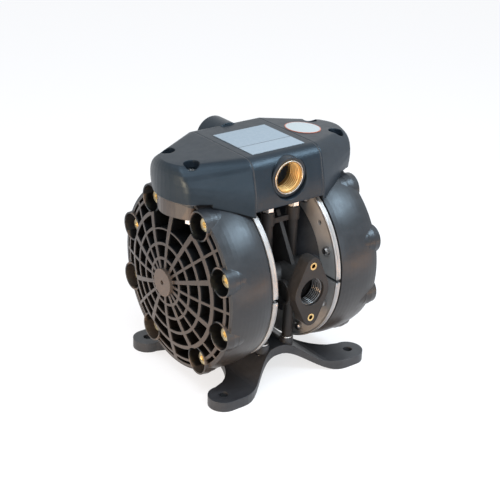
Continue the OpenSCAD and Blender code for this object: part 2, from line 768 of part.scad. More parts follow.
module sleeve() at_spool() difference() {
    along_x() tube(sleeve_r - 0.02, spool_r + run_clear, -block_w / 2, block_w / 2);
    for (x = [-outlet_x, 0, outlet_x]) translate([x, 0, 0]) along_y()
        rod(sleeve_port_r, -sleeve_r - 1, 0);
    for (x = [-vent_x, vent_x]) translate([x, 0, 0]) along_y() rod(sleeve_port_r, 0, sleeve_r + 1);
}

// The spool's two waists each join an outlet to the inlet or to its vent
waist_mid = outlet_x - 0.8;
waist_half = 1.5 * spool_travel;
spool_seal_x = spool_half - sleeve_port_r;
spool_groove = 1.1;
module spool() at_spool() along_x() difference() {
    rod(spool_r, -spool_half, spool_half);
    for (x = [-waist_mid, waist_mid]) tube(spool_r + 1, 0.65 * spool_r, x - waist_half, x + waist_half);
    for (x = [-spool_seal_x, spool_seal_x])
        tube(spool_r + 1, spool_r - 1.2, x - spool_groove, x + spool_groove);
}
module spool_rings() at_spool() along_x() for (x = [-spool_seal_x, spool_seal_x])
    tube(spool_r + 0.03, spool_r - 1.18, x - spool_groove + 0.1, x + spool_groove - 0.1);
module plugs() at_spool() both_sides() along_x()
    rod(spool_r + run_clear - 0.02, block_w / 2 - plug_t, block_w / 2);

// ---- Caps ----
cap_x = block_w / 2 + gasket_t;
cap_tip = cap_reach - 3;
fall_a = atan(cap_fall / (cap_tip - cap_x - 1));
cap_steps = 9;
slab_t = 0.4;

// Slab of a cap's end at a share of its height; the plan draws in towards the top
module end_slab(share) translate([0, 0, parting_z + share * (cap_top - parting_z - slab_t)])
    linear_extrude(height = slab_t) end_plan(
        cap_reach - (cap_reach - cap_tip) * pow(share, 10),
        cap_top_half + (cap_half - cap_top_half) * (1 - pow(share, 3)),
        5 - 2 * share, 9 - 4 * share, cap_screw_x - 10
    );

// Air way from the gasket to the parting line over the duct
module cap_way() {
    hull() for (end = [[-gallery_y, spool_z], [0, way_top_z]])
        translate([0, end[0], end[1]]) along_x() rod(way_r, cap_x - 1, cap_x + 2 * way_r);
    translate([0, 0, way_top_z]) along_x() rod(way_r, cap_x, way_x + 1);
    translate([way_x, 0, 0]) rod(way_r, parting_z - 1, way_top_z + 1);
}

module cap() difference() {
    hull() {
        translate([cap_x, 0, 0]) along_x() linear_extrude(height = 1) block_outline(cap_bottom);
        for (i = [0 : cap_steps]) end_slab(sin(90 * i / cap_steps));
    }
    along_x() rod(saddle_r, 0, face_x + gap);
    translate([duct_back - gap, -block_d, 0]) cube([cap_reach, 2 * block_d, parting_z]);
    cap_way();
    for (y = [-cap_screw_y, cap_screw_y]) translate([cap_screw_x, y, 0]) {
        rod(recess_r, cap_top - recess_depth, cap_top + 20);
        rod(screw_r + fit, parting_z - 2, cap_top);
    }
}
module gasket() translate([block_w / 2, 0, 0]) along_x() difference() {
    linear_extrude(height = gasket_t) difference() {
        block_outline(block_z);
        circle(r = saddle_r, $fn = 96);
    }
    translate([-gallery_y, spool_z, 0]) rod(way_r, -1, gasket_t + 1);
}
screw_head_h = 3.4;
nut_h = 4;
module cap_screw() {
    rod(screw_r, duct_bottom - nut_h - 1, cap_top - recess_depth);
    difference() {
        rod(1.7 * screw_r, cap_top - recess_depth, cap_top - recess_depth + screw_head_h);
        hex(1.6 * screw_r, cap_top - recess_depth + 1.4, cap_top);
    }
}
module cap_nut() difference() {
    hex(nut_across, duct_bottom - nut_h, duct_bottom);
    rod(screw_r + fit, duct_bottom - nut_h - 1, duct_bottom + 1);
}
module at_cap_screws() both_sides() both_ends() translate([cap_screw_x, -cap_screw_y, 0]) children();
module at_columns() both_sides() both_ends() translate([column_x, -column_y, 0]) children();

// Studs between the columns and the block, each with a hexagon collar that shows
module block_stud() {
    rod(screw_r - fit, column_top - collar_h - 3, block_z + 7);
    hex(3 * screw_r, column_top, block_z);
}

// ---- Stand ----
under_crown = -stand_drop - arch_t;
function sway(t) = (1 - cos(180 * t)) / 2;
crown_half = 4;
function leg(x, from, to) = sway(max(0, (x - from) / (to - from)));
function top_z(x) = -stand_drop - leg(x, crown_half, leg_top_x) * (-stand_drop - foot_top);
function under_z(x) = under_crown - leg(x, crown_half / 2, leg_under_x) * (under_crown - floor_z);

// Front outline of the arched plate: crown, curved legs and feet
module arch_outline() for (side = [0, 1]) mirror([side, 0]) polygon(concat(
    [[-0.1, floor_z + 10], [-0.1, -stand_drop]],
    [for (i = [0 : 10]) let (x = leg_top_x * i / 10) [x, top_z(x)]],
    [[foot_x + foot_r, foot_top], [foot_x + foot_r, floor_z]],
    [for (i = [12 : -1 : 0]) let (x = leg_under_x * i / 12) [x, under_z(x)]],
    [[-0.1, under_crown]]
));

// One quarter of the plate's plan: hollow sides that run into a round foot
foot_front = foot_y + foot_r;
foot_back = foot_y - foot_r + 0.3;
front_run = foot_x - 10;
module quarter_plan() {
    polygon(concat(
        [[-0.1, 0.1]],
        [for (i = [0 : 12]) let (t = i / 12)
            [
                t * front_run - (i == 0 ? 0.1 : 0),
                -waist_y - (foot_front - waist_y) * pow(sway(t), 1.2)
            ]],
        [[foot_x, -foot_front]],
        [for (i = [12 : -1 : 0]) let (t = i / 12)
            [
                waist_x + (foot_x - waist_x) * (1 - pow(1 - t * t, 0.6)),
                -t * foot_back + (i == 0 ? 0.1 : 0)
            ]]
    ));
    translate([foot_x, -foot_y]) circle(r = foot_r, $fn = 64);
}
module stand_plan() for (x = [0, 1]) mirror([x, 0]) for (y = [0, 1]) mirror([0, y]) quarter_plan();

post_seat_r = collar_r;
seat_floor = 2.6;
screw_seat = under_crown + seat_floor;
base_grip = 11;
base_head_h = 3;
base_socket = 1.6;
module stand() difference() {
    union() {
        intersection() {
            translate([0, foot_front + 1, 0]) rotate([90, 0, 0])
                linear_extrude(height = 2 * foot_front + 2) arch_outline();
            translate([0, 0, floor_z - 1]) linear_extrude(height = axis_h) stand_plan();
        }
        at_columns() rod(post_seat_r, -stand_drop - 3, column_base);
    }
    both_ends() for (x = [-foot_x, foot_x]) translate([x, -foot_y, 0])
        rod(foot_hole_r, floor_z - 1, foot_top + 1);
    at_columns() {
        rod(screw_r + gap, floor_z, column_base + 1);
        rod(1.7 * screw_r + gap, floor_z, screw_seat);
    }
}
module base_screw() {
    rod(screw_r - fit, screw_seat, column_base + base_grip);
    difference() {
        rod(1.7 * screw_r, screw_seat - base_head_h, screw_seat);
        hex(1.6 * screw_r, screw_seat - base_head_h - 1, screw_seat - base_head_h + base_socket);
    }
}
module washer() tube(post_seat_r - 0.5, screw_r + gap, column_base, column_base + washer_t);

// ---- Labels ----
label_t = 0.4;
module plate() translate([-plate_w / 2, -block_d / 2 + round_front, block_top])
    cube([plate_w, plate_d, label_t]);
module sticker() translate([cap_x + 1, 0, block_top]) rotate([0, fall_a, 0])
    translate([sticker_r + 0.5, 0, 0]) rod(sticker_r, 0, label_t);

// ---- Named parts ----
module left_cover() color(plastic) at_axis() on_side(-1) along_x() cover();
module right_cover() color(plastic) at_axis() along_x() cover();
module left_cover_bolts() color(brass) at_axis() on_side(-1) along_x() cover_bolts();
module right_cover_bolts() color(brass) at_axis() along_x() cover_bolts();
module left_upper_ring() color(steel) at_axis() on_side(-1) along_x() half_ring(1);
module left_lower_ring() color(steel) at_axis() on_side(-1) along_x() half_ring(-1);
module right_upper_ring() color(steel) at_axis() along_x() half_ring(1);
module right_lower_ring() color(steel) at_axis() along_x() half_ring(-1);
module left_chamber() color(plastic) at_axis() on_side(-1) along_x() chamber();
module right_chamber() color(plastic) at_axis() along_x() chamber();
module pump_core() color(plastic) at_axis() core();
module inlet_manifold() color(plastic) at_axis() manifold();
module outlet_manifold() color(plastic) at_axis() mirror([0, 1, 0]) manifold();
module flange_inserts() color(brass) at_axis() inserts();
module left_diaphragm() color(rubber) at_axis() on_side(-1) along_x() diaphragm_with_holes();
module right_diaphragm() color(rubber) at_axis() along_x() diaphragm_with_holes();
module diaphragm_shaft() color(steel) at_axis() shaft();
module inner_plates() color(plastic) at_axis() both_sides() along_x() inner_plate();
module outer_plates() color(steel) at_axis() both_sides() along_x() outer_plate();
module shaft_nuts() color(steel) at_axis() both_sides() along_x() shaft_nut();
module shaft_bushes() color("ivory") at_axis() both_sides() along_x() bush();
module shaft_seals() color(rubber) at_axis() both_sides() along_x() shaft_seal();
module pilot_rod() color(steel) at_axis() translate([0, 0, pilot_z]) pilot();
module pilot_seals() color(rubber) at_axis() translate([0, 0, pilot_z]) pilot_rings();
module valve_seats() color("ivory") at_axis() for (side = [-1, 1]) for (kind = [-1, 1])
    at_valve(side, kind) valve_seat();
module valve_cages() color("ivory") at_axis() for (side = [-1, 1]) for (kind = [-1, 1])
    at_valve(side, kind) valve_cage();
module left_inlet_poppet() color("ivory") at_axis() at_valve(-1, 1) poppet();
module right_inlet_poppet() color("ivory") at_axis() at_valve(1, 1) poppet();
module left_outlet_poppet() color("ivory") at_axis() at_valve(-1, -1) poppet();
module right_outlet_poppet() color("ivory") at_axis() at_valve(1, -1) poppet();
module left_inlet_spring() color(steel) at_axis() at_valve(-1, 1) valve_spring();
module right_inlet_spring() color(steel) at_axis() at_valve(1, 1) valve_spring();
module left_outlet_spring() color(steel) at_axis() at_valve(-1, -1) valve_spring();
module right_outlet_spring() color(steel) at_axis() at_valve(1, -1) valve_spring();
module valve_block() color(plastic) at_axis() block();
module valve_sleeve() color("gainsboro") at_axis() sleeve();
module valve_spool() color("silver") at_axis() spool();
module spool_seals() color(rubber) at_axis() spool_rings();
module sleeve_plugs() color(plastic) at_axis() plugs();
module air_inlet_insert() color(brass) at_axis() air_insert();
module left_cap() color(plastic) at_axis() on_side(-1) cap();
module right_cap() color(plastic) at_axis() cap();
module cap_gaskets() color(rubber) at_axis() both_sides() gasket();
module cap_screws() color(steel) at_axis() at_cap_screws() cap_screw();
module cap_nuts() color(steel) at_axis() at_cap_screws() cap_nut();
module block_studs() color(steel) at_axis() at_columns() block_stud();
module base_stand() color(plastic) at_axis() stand();
module base_screws() color(steel) at_axis() at_columns() base_screw();
module base_washers() color(steel) at_axis() at_columns() washer();
module name_plate() color("lightgray") at_axis() plate();
module round_sticker() color("white") at_axis() sticker();

left_cover();
right_cover();
left_cover_bolts();
right_cover_bolts();
left_upper_ring();
left_lower_ring();
right_upper_ring();
right_lower_ring();
left_chamber();
right_chamber();
pump_core();
inlet_manifold();
outlet_manifold();
flange_inserts();
left_diaphragm();
right_diaphragm();
diaphragm_shaft();
inner_plates();
outer_plates();
shaft_nuts();
shaft_bushes();
shaft_seals();
pilot_rod();
pilot_seals();
valve_seats();
valve_cages();
left_inlet_poppet();
right_inlet_poppet();
left_outlet_poppet();
right_outlet_poppet();
left_inlet_spring();
right_inlet_spring();
left_outlet_spring();
right_outlet_spring();
valve_block();
valve_sleeve();
valve_spool();
spool_seals();
sleeve_plugs();
air_inlet_insert();
left_cap();
right_cap();
cap_gaskets();
cap_screws();
cap_nuts();
block_studs();
base_stand();
base_screws();
base_washers();
name_plate();
round_sticker();
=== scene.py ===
"""Studio scene of a compact air-operated double-diaphragm pump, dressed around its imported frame.

Lengths are in metres. X runs along the diaphragm shaft, -Y is the suction side and +Z is up.
"""

from __future__ import annotations

import json
import logging
import math
from collections.abc import Callable, Sequence
from dataclasses import dataclass, field
from enum import Enum

import bpy
from mathutils import Matrix, Vector

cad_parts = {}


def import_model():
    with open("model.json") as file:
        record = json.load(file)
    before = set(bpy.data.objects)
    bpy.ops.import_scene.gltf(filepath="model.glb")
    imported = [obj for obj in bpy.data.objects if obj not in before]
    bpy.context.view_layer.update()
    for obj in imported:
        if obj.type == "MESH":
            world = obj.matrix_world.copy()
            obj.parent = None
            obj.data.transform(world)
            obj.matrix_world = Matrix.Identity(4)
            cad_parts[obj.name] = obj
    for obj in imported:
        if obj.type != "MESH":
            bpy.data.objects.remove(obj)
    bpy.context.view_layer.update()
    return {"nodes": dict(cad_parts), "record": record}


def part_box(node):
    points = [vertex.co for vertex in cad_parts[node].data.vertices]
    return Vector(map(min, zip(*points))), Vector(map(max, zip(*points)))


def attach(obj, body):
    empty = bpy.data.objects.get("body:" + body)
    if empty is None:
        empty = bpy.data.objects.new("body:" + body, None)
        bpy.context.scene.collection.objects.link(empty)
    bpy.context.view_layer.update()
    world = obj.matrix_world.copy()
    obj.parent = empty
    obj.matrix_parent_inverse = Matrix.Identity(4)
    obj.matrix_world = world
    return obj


LOG = logging.getLogger("diaphragm_pump")
MM = 0.001
HOUSING = "housing"
RAMP_SPAN = 120 * MM  # the place along an axis that takes a colour ramp from 0 to 1

Colour = tuple[float, float, float]
Profile = Sequence[tuple[float, float]]
Socket = bpy.types.NodeSocket


class Axis(Enum):
    """Axis that a turned or threaded piece is made about."""

    X = 0
    Y = 1


class Brush(Enum):
    """Tool marks on a metal."""

    TURNED_X = "rings about the shaft"
    TURNED_Y = "rings about a port"
    DRAWN = "fine streaks"
    PLATED = "faint speckle"


# ---- Materials ----


def grey(level: float) -> Colour:
    """A neutral colour."""
    return level, level, level


class ShaderBench:
    """Short calls that lay out the nodes of one material."""

    def __init__(self, name: str) -> None:
        """Starts a material.

        Args:
            name: the material's name.
        """
        self.material = bpy.data.materials.new(name)
        self.material.use_nodes = True
        self.tree = self.material.node_tree
        self.tree.nodes.clear()
        self.output = self.tree.nodes.new("ShaderNodeOutputMaterial")
        self.place = self.tree.nodes.new("ShaderNodeTexCoord").outputs["Object"]

    def node(self, kind: str, **settings: object) -> bpy.types.Node:
        """Adds a node.

        Args:
            kind: Blender's name of the node.
            settings: its properties.

        Returns:
            The node.
        """
        made = self.tree.nodes.new(kind)
        for name, value in settings.items():
            setattr(made, name, value)
        return made

    def link(self, source: Socket, target: Socket) -> None:
        """Joins two sockets."""
        self.tree.links.new(source, target)

    def stretched(self, scale: tuple[float, float, float]) -> Socket:
        """Object coordinates stretched along each axis.

        Args:
            scale: factor on each axis.

        Returns:
            The vector socket.
        """
        mapping = self.node("ShaderNodeMapping")
        mapping.inputs["Scale"].default_value = scale
        self.link(self.place, mapping.inputs["Vector"])
        return mapping.outputs["Vector"]

    def noise(self, scale: float, detail: float = 3.0, rough: float = 0.55, place: Socket | None = None) -> Socket:
        """Noise over the piece.

        Args:
            scale: cells to the metre.
            detail: octaves.
            rough: how much the fine octaves weigh.
            place: coordinates, or the plain object ones.

        Returns:
            The factor socket.
        """
        made = self.node("ShaderNodeTexNoise")
        made.inputs["Scale"].default_value = scale
        made.inputs["Detail"].default_value = detail
        made.inputs["Roughness"].default_value = rough
        self.link(place or self.place, made.inputs["Vector"])
        return made.outputs["Fac"]

    def ramp(self, factor: Socket, stops: Sequence[tuple[float, Colour]], constant: bool = False) -> Socket:
        """Colours along a factor.

        Args:
            factor: what drives it.
            stops: places from 0 to 1 and their colours.
            constant: whether the colours change in steps.

        Returns:
            The colour socket.
        """
        made = self.node("ShaderNodeValToRGB")
        band = made.color_ramp
        band.interpolation = "CONSTANT" if constant else "LINEAR"
        while len(band.elements) < len(stops):
            band.elements.new(0.5)
        for element, (where, colour) in zip(band.elements, stops):
            element.position = where
            element.color = (*colour, 1.0)
        self.link(factor, made.inputs["Fac"])
        return made.outputs["Color"]

    def spread(self, factor: Socket, low: float, high: float) -> Socket:
        """Maps the middle of a noise factor to a range.

        Args:
            factor: the noise.
            low: value at its dark end.
            high: value at its light end.

        Returns:
            The value socket.
        """
        made = self.node("ShaderNodeMapRange")
        for name, value in (("From Min", 0.3), ("From Max", 0.7), ("To Min", low), ("To Max", high)):
            made.inputs[name].default_value = value
        self.link(factor, made.inputs["Value"])
        return made.outputs["Result"]

    def maths(self, operation: str, first: Socket, second: Socket | float) -> Socket:
        """One sum on two values.

        Args:
            operation: Blender's name of it.
            first: the first value.
            second: the second value, or a number.

        Returns:
            The value socket.
        """
        made = self.node("ShaderNodeMath", operation=operation)
        self.link(first, made.inputs[0])
        if isinstance(second, float):
            made.inputs[1].default_value = second
        else:
            self.link(second, made.inputs[1])
        return made.outputs[0]

    def blended(self, first: Socket, second: Socket) -> Socket:
        """The mean of two noises."""
        return self.maths("MULTIPLY", self.maths("ADD", first, second), 0.5)

    def combined(self, blend: str, first: Socket, second: Socket) -> Socket:
        """Combines two colours.

        Args:
            blend: Blender's name of the way, as ADD or MULTIPLY.
            first: the first colour.
            second: the second colour.

        Returns:
            The colour socket.
        """
        mix = self.node("ShaderNodeMix", data_type="RGBA", blend_type=blend)
        mix.inputs["Factor"].default_value = 1.0
        self.link(first, mix.inputs[6])
        self.link(second, mix.inputs[7])
        return mix.outputs[2]

    def parts_of_place(self) -> tuple[Socket, ...]:
        """The object coordinates as three values."""
        made = self.node("ShaderNodeSeparateXYZ")
        self.link(self.place, made.inputs[0])
        return tuple(made.outputs)

    def rounded(self, radius: float) -> Socket:
        """A normal that softens edges.

        Args:
            radius: radius of the soft edge.

        Returns:
            The normal socket.
        """
        made = self.node("ShaderNodeBevel", samples=4)
        made.inputs["Radius"].default_value = radius
        return made.outputs["Normal"]

    def bump(self, height: Socket, depth: float, strength: float, normal: Socket | None = None) -> Socket:
        """A normal from a height.

        Args:
            height: the height pattern.
            depth: its real depth.
            strength: how much of it shows.
            normal: the normal below it.

        Returns:
            The normal socket.
        """
        made = self.node("ShaderNodeBump")
        made.inputs["Strength"].default_value = strength
        made.inputs["Distance"].default_value = depth
        self.link(height, made.inputs["Height"])
        if normal is not None:
            self.link(normal, made.inputs["Normal"])
        return made.outputs["Normal"]

    def surface(self, colour: Socket, rough: Socket, normal: Socket,
                **fixed: float | tuple[float, ...]) -> bpy.types.Material:
        """Ends the material with one surface shader.

        Args:
            colour: base colour.
            rough: roughness.
            normal: normal.
            fixed: sockets with one value all over, with _ for a space.

        Returns:
            The material.
        """
        shader = self.node("ShaderNodeBsdfPrincipled")
        for name, value in fixed.items():
            shader.inputs[name.replace("_", " ")].default_value = value
        self.link(colour, shader.inputs["Base Color"])
        self.link(rough, shader.inputs["Roughness"])
        self.link(normal, shader.inputs["Normal"])
        self.link(shader.outputs["BSDF"], self.output.inputs["Surface"])
        return self.material


@dataclass(frozen=True)
class MouldedPlastic:
    """Glass-filled plastic from a mould: faint flow marks, a fine grain and soft edges."""

    name: str
    dark: Colour
    light: Colour
    smooth: float = 0.34
    coarse: float = 0.5
    gloss: float = 0.5
    edge: float = 0.6 * MM
    sheen: Colour = grey(1.0)
    uneven: float = 0.22

    def with_painted_light(self, bench: ShaderBench, colour: Socket) -> Socket:
        """The base colour with any painted light on it; plain plastic has none."""
        return colour

    def build(self) -> bpy.types.Material:
        """The material."""
        bench = ShaderBench(self.name)
        flow = bench.noise(24.0, 4.0, 0.6, bench.stretched((1.0, 0.6, 1.6)))
        grain = bench.noise(2600.0, 2.0)
        mottle = bench.noise(170.0, 5.0, 0.65)
        scuffs = bench.noise(260.0, 7.0, 0.72, bench.stretched((0.35, 1.0, 0.6)))
        colour = bench.ramp(bench.blended(flow, scuffs), ((0.34, self.dark), (0.68, self.light)))
        rough = bench.spread(bench.blended(mottle, scuffs), self.smooth, self.coarse)
        normal = bench.bump(grain, 0.03 * MM, 0.35, bench.rounded(self.edge))
        normal = bench.bump(mottle, 0.08 * MM, self.uneven, normal)
        return bench.surface(self.with_painted_light(bench, colour), rough, normal,
                             Specular_IOR_Level=self.gloss, Specular_Tint=(*self.sheen, 1.0))


@dataclass(frozen=True)
class CoverPlastic(MouldedPlastic):
    """Cover plastic with painted light: a painted warm reflection on its ribs and duct, painted shade between the
    ribs and a painted warm floor reflection towards the bottom.
    """

    # Painted warm reflection of light from the left: strongest on the rib tops, weaker further out, as on the duct.
    painted_rib_reflection: Colour = (0.045, 0.031, 0.02)
    duct: Colour = (0.024, 0.019, 0.015)
    # Painted warm reflection of the floor: strongest low down, fading out upwards.
    painted_floor_reflection: Colour = (0.022, 0.013, 0.004)
    painted_floor_reflection_from: float = 12 * MM
    painted_floor_reflection_to: float = 95 * MM
    axis: float = 81 * MM
    dome_edge: float = 66.3 * MM
    dome_rise: float = 10.5 * MM
    dome_radius: float = 67 * MM
    web_radius: float = 65.5 * MM
    # Level of the painted shade deep between the ribs.
    between: float = 0.12
    on_dome: float = 0.2
    per_metre: float = 50.0
    deepest: float = 0.9

    def at(self, behind: float) -> float:
        """The depth factor of a place so far behind the domed face."""
        return self.on_dome + self.per_metre * behind

    def depth_factor(self, bench: ShaderBench) -> Socket:
        """How far a point lies behind the domed face of the web.

        Args:
            bench: the material being made.

        Returns:
            A factor that goes as at() up to the deepest value, and is 1 outside the web.
        """
        along, across, height = bench.parts_of_place()
        up = bench.maths("SUBTRACT", height, self.axis)
        square = bench.maths("ADD", bench.maths("MULTIPLY", across, across), bench.maths("MULTIPLY", up, up))
        fall = bench.maths("MULTIPLY", square, self.dome_rise / self.dome_radius ** 2)
        reach = bench.maths("ADD", bench.maths("ABSOLUTE", along, 0.0), fall)
        ahead = bench.maths("ADD", reach, -(self.dome_edge + self.dome_rise))
        factor = bench.maths("ADD", bench.maths("MULTIPLY", ahead, -self.per_metre), self.on_dome)
        outside = bench.maths("GREATER_THAN", square, self.web_radius ** 2)
        return bench.maths("MAXIMUM", bench.maths("MINIMUM", factor, self.deepest), outside)

    def with_painted_light(self, bench: ShaderBench, colour: Socket) -> Socket:
        """Adds the painted light to the base colour: a painted warm reflection on the ribs and the duct, painted
        shade between the ribs and a painted warm floor reflection towards the bottom.

        Args:
            bench: the material being made.
            colour: the plain base colour.

        Returns:
            The colour socket.
        """
        none, full, dim = grey(0.0), grey(1.0), grey(self.between)
        factor = self.depth_factor(bench)
        # Painted warm reflection on the rib tops, and a weaker one further out on the duct.
        face = bench.ramp(factor, ((self.at(-3 * MM), self.duct), (self.at(-2.2 * MM), self.painted_rib_reflection),
                                   (self.at(0.4 * MM), self.painted_rib_reflection), (self.at(1.4 * MM), none)))
        # Painted shade: the colour darkens the deeper a point lies between the ribs.
        shade = bench.ramp(factor, ((self.at(0.6 * MM), full), (self.at(2.4 * MM), dim),
                                    (self.deepest + 0.03, dim), (self.deepest + 0.07, full)))
        _, _, height = bench.parts_of_place()
        low = bench.maths("MULTIPLY", height, 1 / RAMP_SPAN)
        # Painted warm floor reflection, fading from the bottom upwards.
        painted_floor_tint = bench.ramp(low, ((self.painted_floor_reflection_from / RAMP_SPAN, self.painted_floor_reflection), (self.painted_floor_reflection_to / RAMP_SPAN, none)))
        plain = bench.combined("ADD", bench.combined("ADD", colour, face), painted_floor_tint)
        return bench.combined("MULTIPLY", plain, shade)


@dataclass(frozen=True)
class WorkedMetal:
    """A bare or plated metal with its tool marks."""

    name: str
    dark: Colour
    light: Colour
    brush: Brush
    smooth: float = 0.2
    coarse: float = 0.34
    edge: float = 0.3 * MM
    metal: float = 1.0

    def marks(self, bench: ShaderBench) -> Socket:
        """The height of the tool marks.

        Args:
            bench: the material being made.

        Returns:
            The value socket.
        """
        if self.brush is Brush.DRAWN:
            return bench.noise(900.0, 2.0, 0.6, bench.stretched((0.08, 1.0, 1.0)))
        if self.brush is Brush.PLATED:
            return bench.noise(1800.0, 2.0)
        along = 0 if self.brush is Brush.TURNED_X else 1
        wave = bench.node("ShaderNodeTexWave", wave_type="BANDS", bands_direction="XYZ"[along])
        wave.inputs["Scale"].default_value = 420.0
        wave.inputs["Distortion"].default_value = 1.5
        bench.link(bench.place, wave.inputs["Vector"])
        return wave.outputs["Fac"]

    def build(self) -> bpy.types.Material:
        """The material."""
        bench = ShaderBench(self.name)
        cloud = bench.noise(60.0, 4.0)
        colour = bench.ramp(cloud, ((0.3, self.dark), (0.7, self.light)))
        rough = bench.spread(bench.noise(300.0, 3.0), self.smooth, self.coarse)
        normal = bench.bump(self.marks(bench), 0.02 * MM, 0.3, bench.rounded(self.edge))
        return bench.surface(colour, rough, normal, Metallic=self.metal)


@dataclass(frozen=True)
class PlatedBolt:
    """A bolt with a yellow-passivated head and a grey shank."""

    name: str
    head: Colour
    shank: Colour
    head_from: float

    def build(self) -> bpy.types.Material:
        """The material."""
        bench = ShaderBench(self.name)
        along, _, _ = bench.parts_of_place()
        place = bench.maths("MULTIPLY", bench.maths("ABSOLUTE", along, 0.0), 1 / RAMP_SPAN)
        tone = bench.ramp(place, ((0.0, self.shank), (self.head_from / RAMP_SPAN, self.head)), True)
        cloud = bench.ramp(bench.noise(140.0, 4.0), ((0.3, grey(0.66)), (0.65, grey(1.0))))
        colour = bench.combined("MULTIPLY", tone, cloud)
        rough = bench.spread(bench.noise(400.0, 3.0), 0.24, 0.42)
        normal = bench.bump(bench.noise(1500.0), 0.02 * MM, 0.3, bench.rounded(0.3 * MM))
        return bench.surface(colour, rough, normal, Metallic=1.0)


@dataclass(frozen=True)
class SoftRubber:
    """Moulded rubber with a powdery bloom."""

    name: str
    dark: Colour
    light: Colour

    def build(self) -> bpy.types.Material:
        """The material."""
        bench = ShaderBench(self.name)
        bloom = bench.noise(90.0, 5.0, 0.7)
        colour = bench.ramp(bloom, ((0.35, self.dark), (0.75, self.light)))
        rough = bench.spread(bench.noise(500.0), 0.6, 0.8)
        normal = bench.bump(bench.noise(1500.0), 0.04 * MM, 0.4, bench.rounded(0.3 * MM))
        return bench.surface(colour, rough, normal, Specular_IOR_Level=0.3)


@dataclass(frozen=True)
class TwoToneFilm:
    """The bare name plate: a grey field behind a lighter strip, with a dark joint between them."""

    name: str
    field_grey: Colour
    strip_grey: Colour
    joint: Colour
    joint_y: float
    joint_half: float = 0.35 * MM

    def build(self) -> bpy.types.Material:
        """The material."""
        bench = ShaderBench(self.name)
        _, depth, _ = bench.parts_of_place()
        span = 80 * MM
        place = bench.maths("ADD", bench.maths("MULTIPLY", depth, 1 / span), 0.5)
        low = 0.5 + (self.joint_y - self.joint_half) / span
        high = 0.5 + (self.joint_y + self.joint_half) / span
        tone = bench.ramp(place, ((0.0, self.strip_grey), (low, self.joint), (high, self.field_grey)), True)
        mist = bench.ramp(bench.noise(500.0, 4.0), ((0.3, grey(0.93)), (0.7, grey(1.0))))
        colour = bench.combined("MULTIPLY", tone, mist)
        rough = bench.spread(bench.noise(400.0), 0.36, 0.5)
        normal = bench.bump(bench.noise(900.0), 0.02 * MM, 0.25, bench.rounded(0.15 * MM))
        return bench.surface(colour, rough, normal, Specular_IOR_Level=0.4)


@dataclass(frozen=True)
class RoundSeal:
    """The bare round sticker: a white face inside a red rim."""

    name: str
    face: Colour
    rim: Colour
    centre: tuple[float, float]
    rim_from: float

    def build(self) -> bpy.types.Material:
        """The material."""
        span = 20 * MM
        bench = ShaderBench(self.name)
        across, depth, _ = bench.parts_of_place()
        dx = bench.maths("SUBTRACT", across, self.centre[0])
        dy = bench.maths("SUBTRACT", depth, self.centre[1])
        square = bench.maths("ADD", bench.maths("MULTIPLY", dx, dx), bench.maths("MULTIPLY", dy, dy))
        far = bench.maths("MULTIPLY", bench.maths("SQRT", square, 0.0), 1 / span)
        edge = self.rim_from / span
        tone = bench.ramp(far, ((0.0, self.face), (edge, self.face), (edge + 0.04, self.rim)))
        rough = bench.spread(bench.noise(350.0), 0.4, 0.55)
        normal = bench.bump(bench.noise(800.0), 0.02 * MM, 0.25, bench.rounded(0.15 * MM))
        return bench.surface(tone, rough, normal, Specular_IOR_Level=0.4)


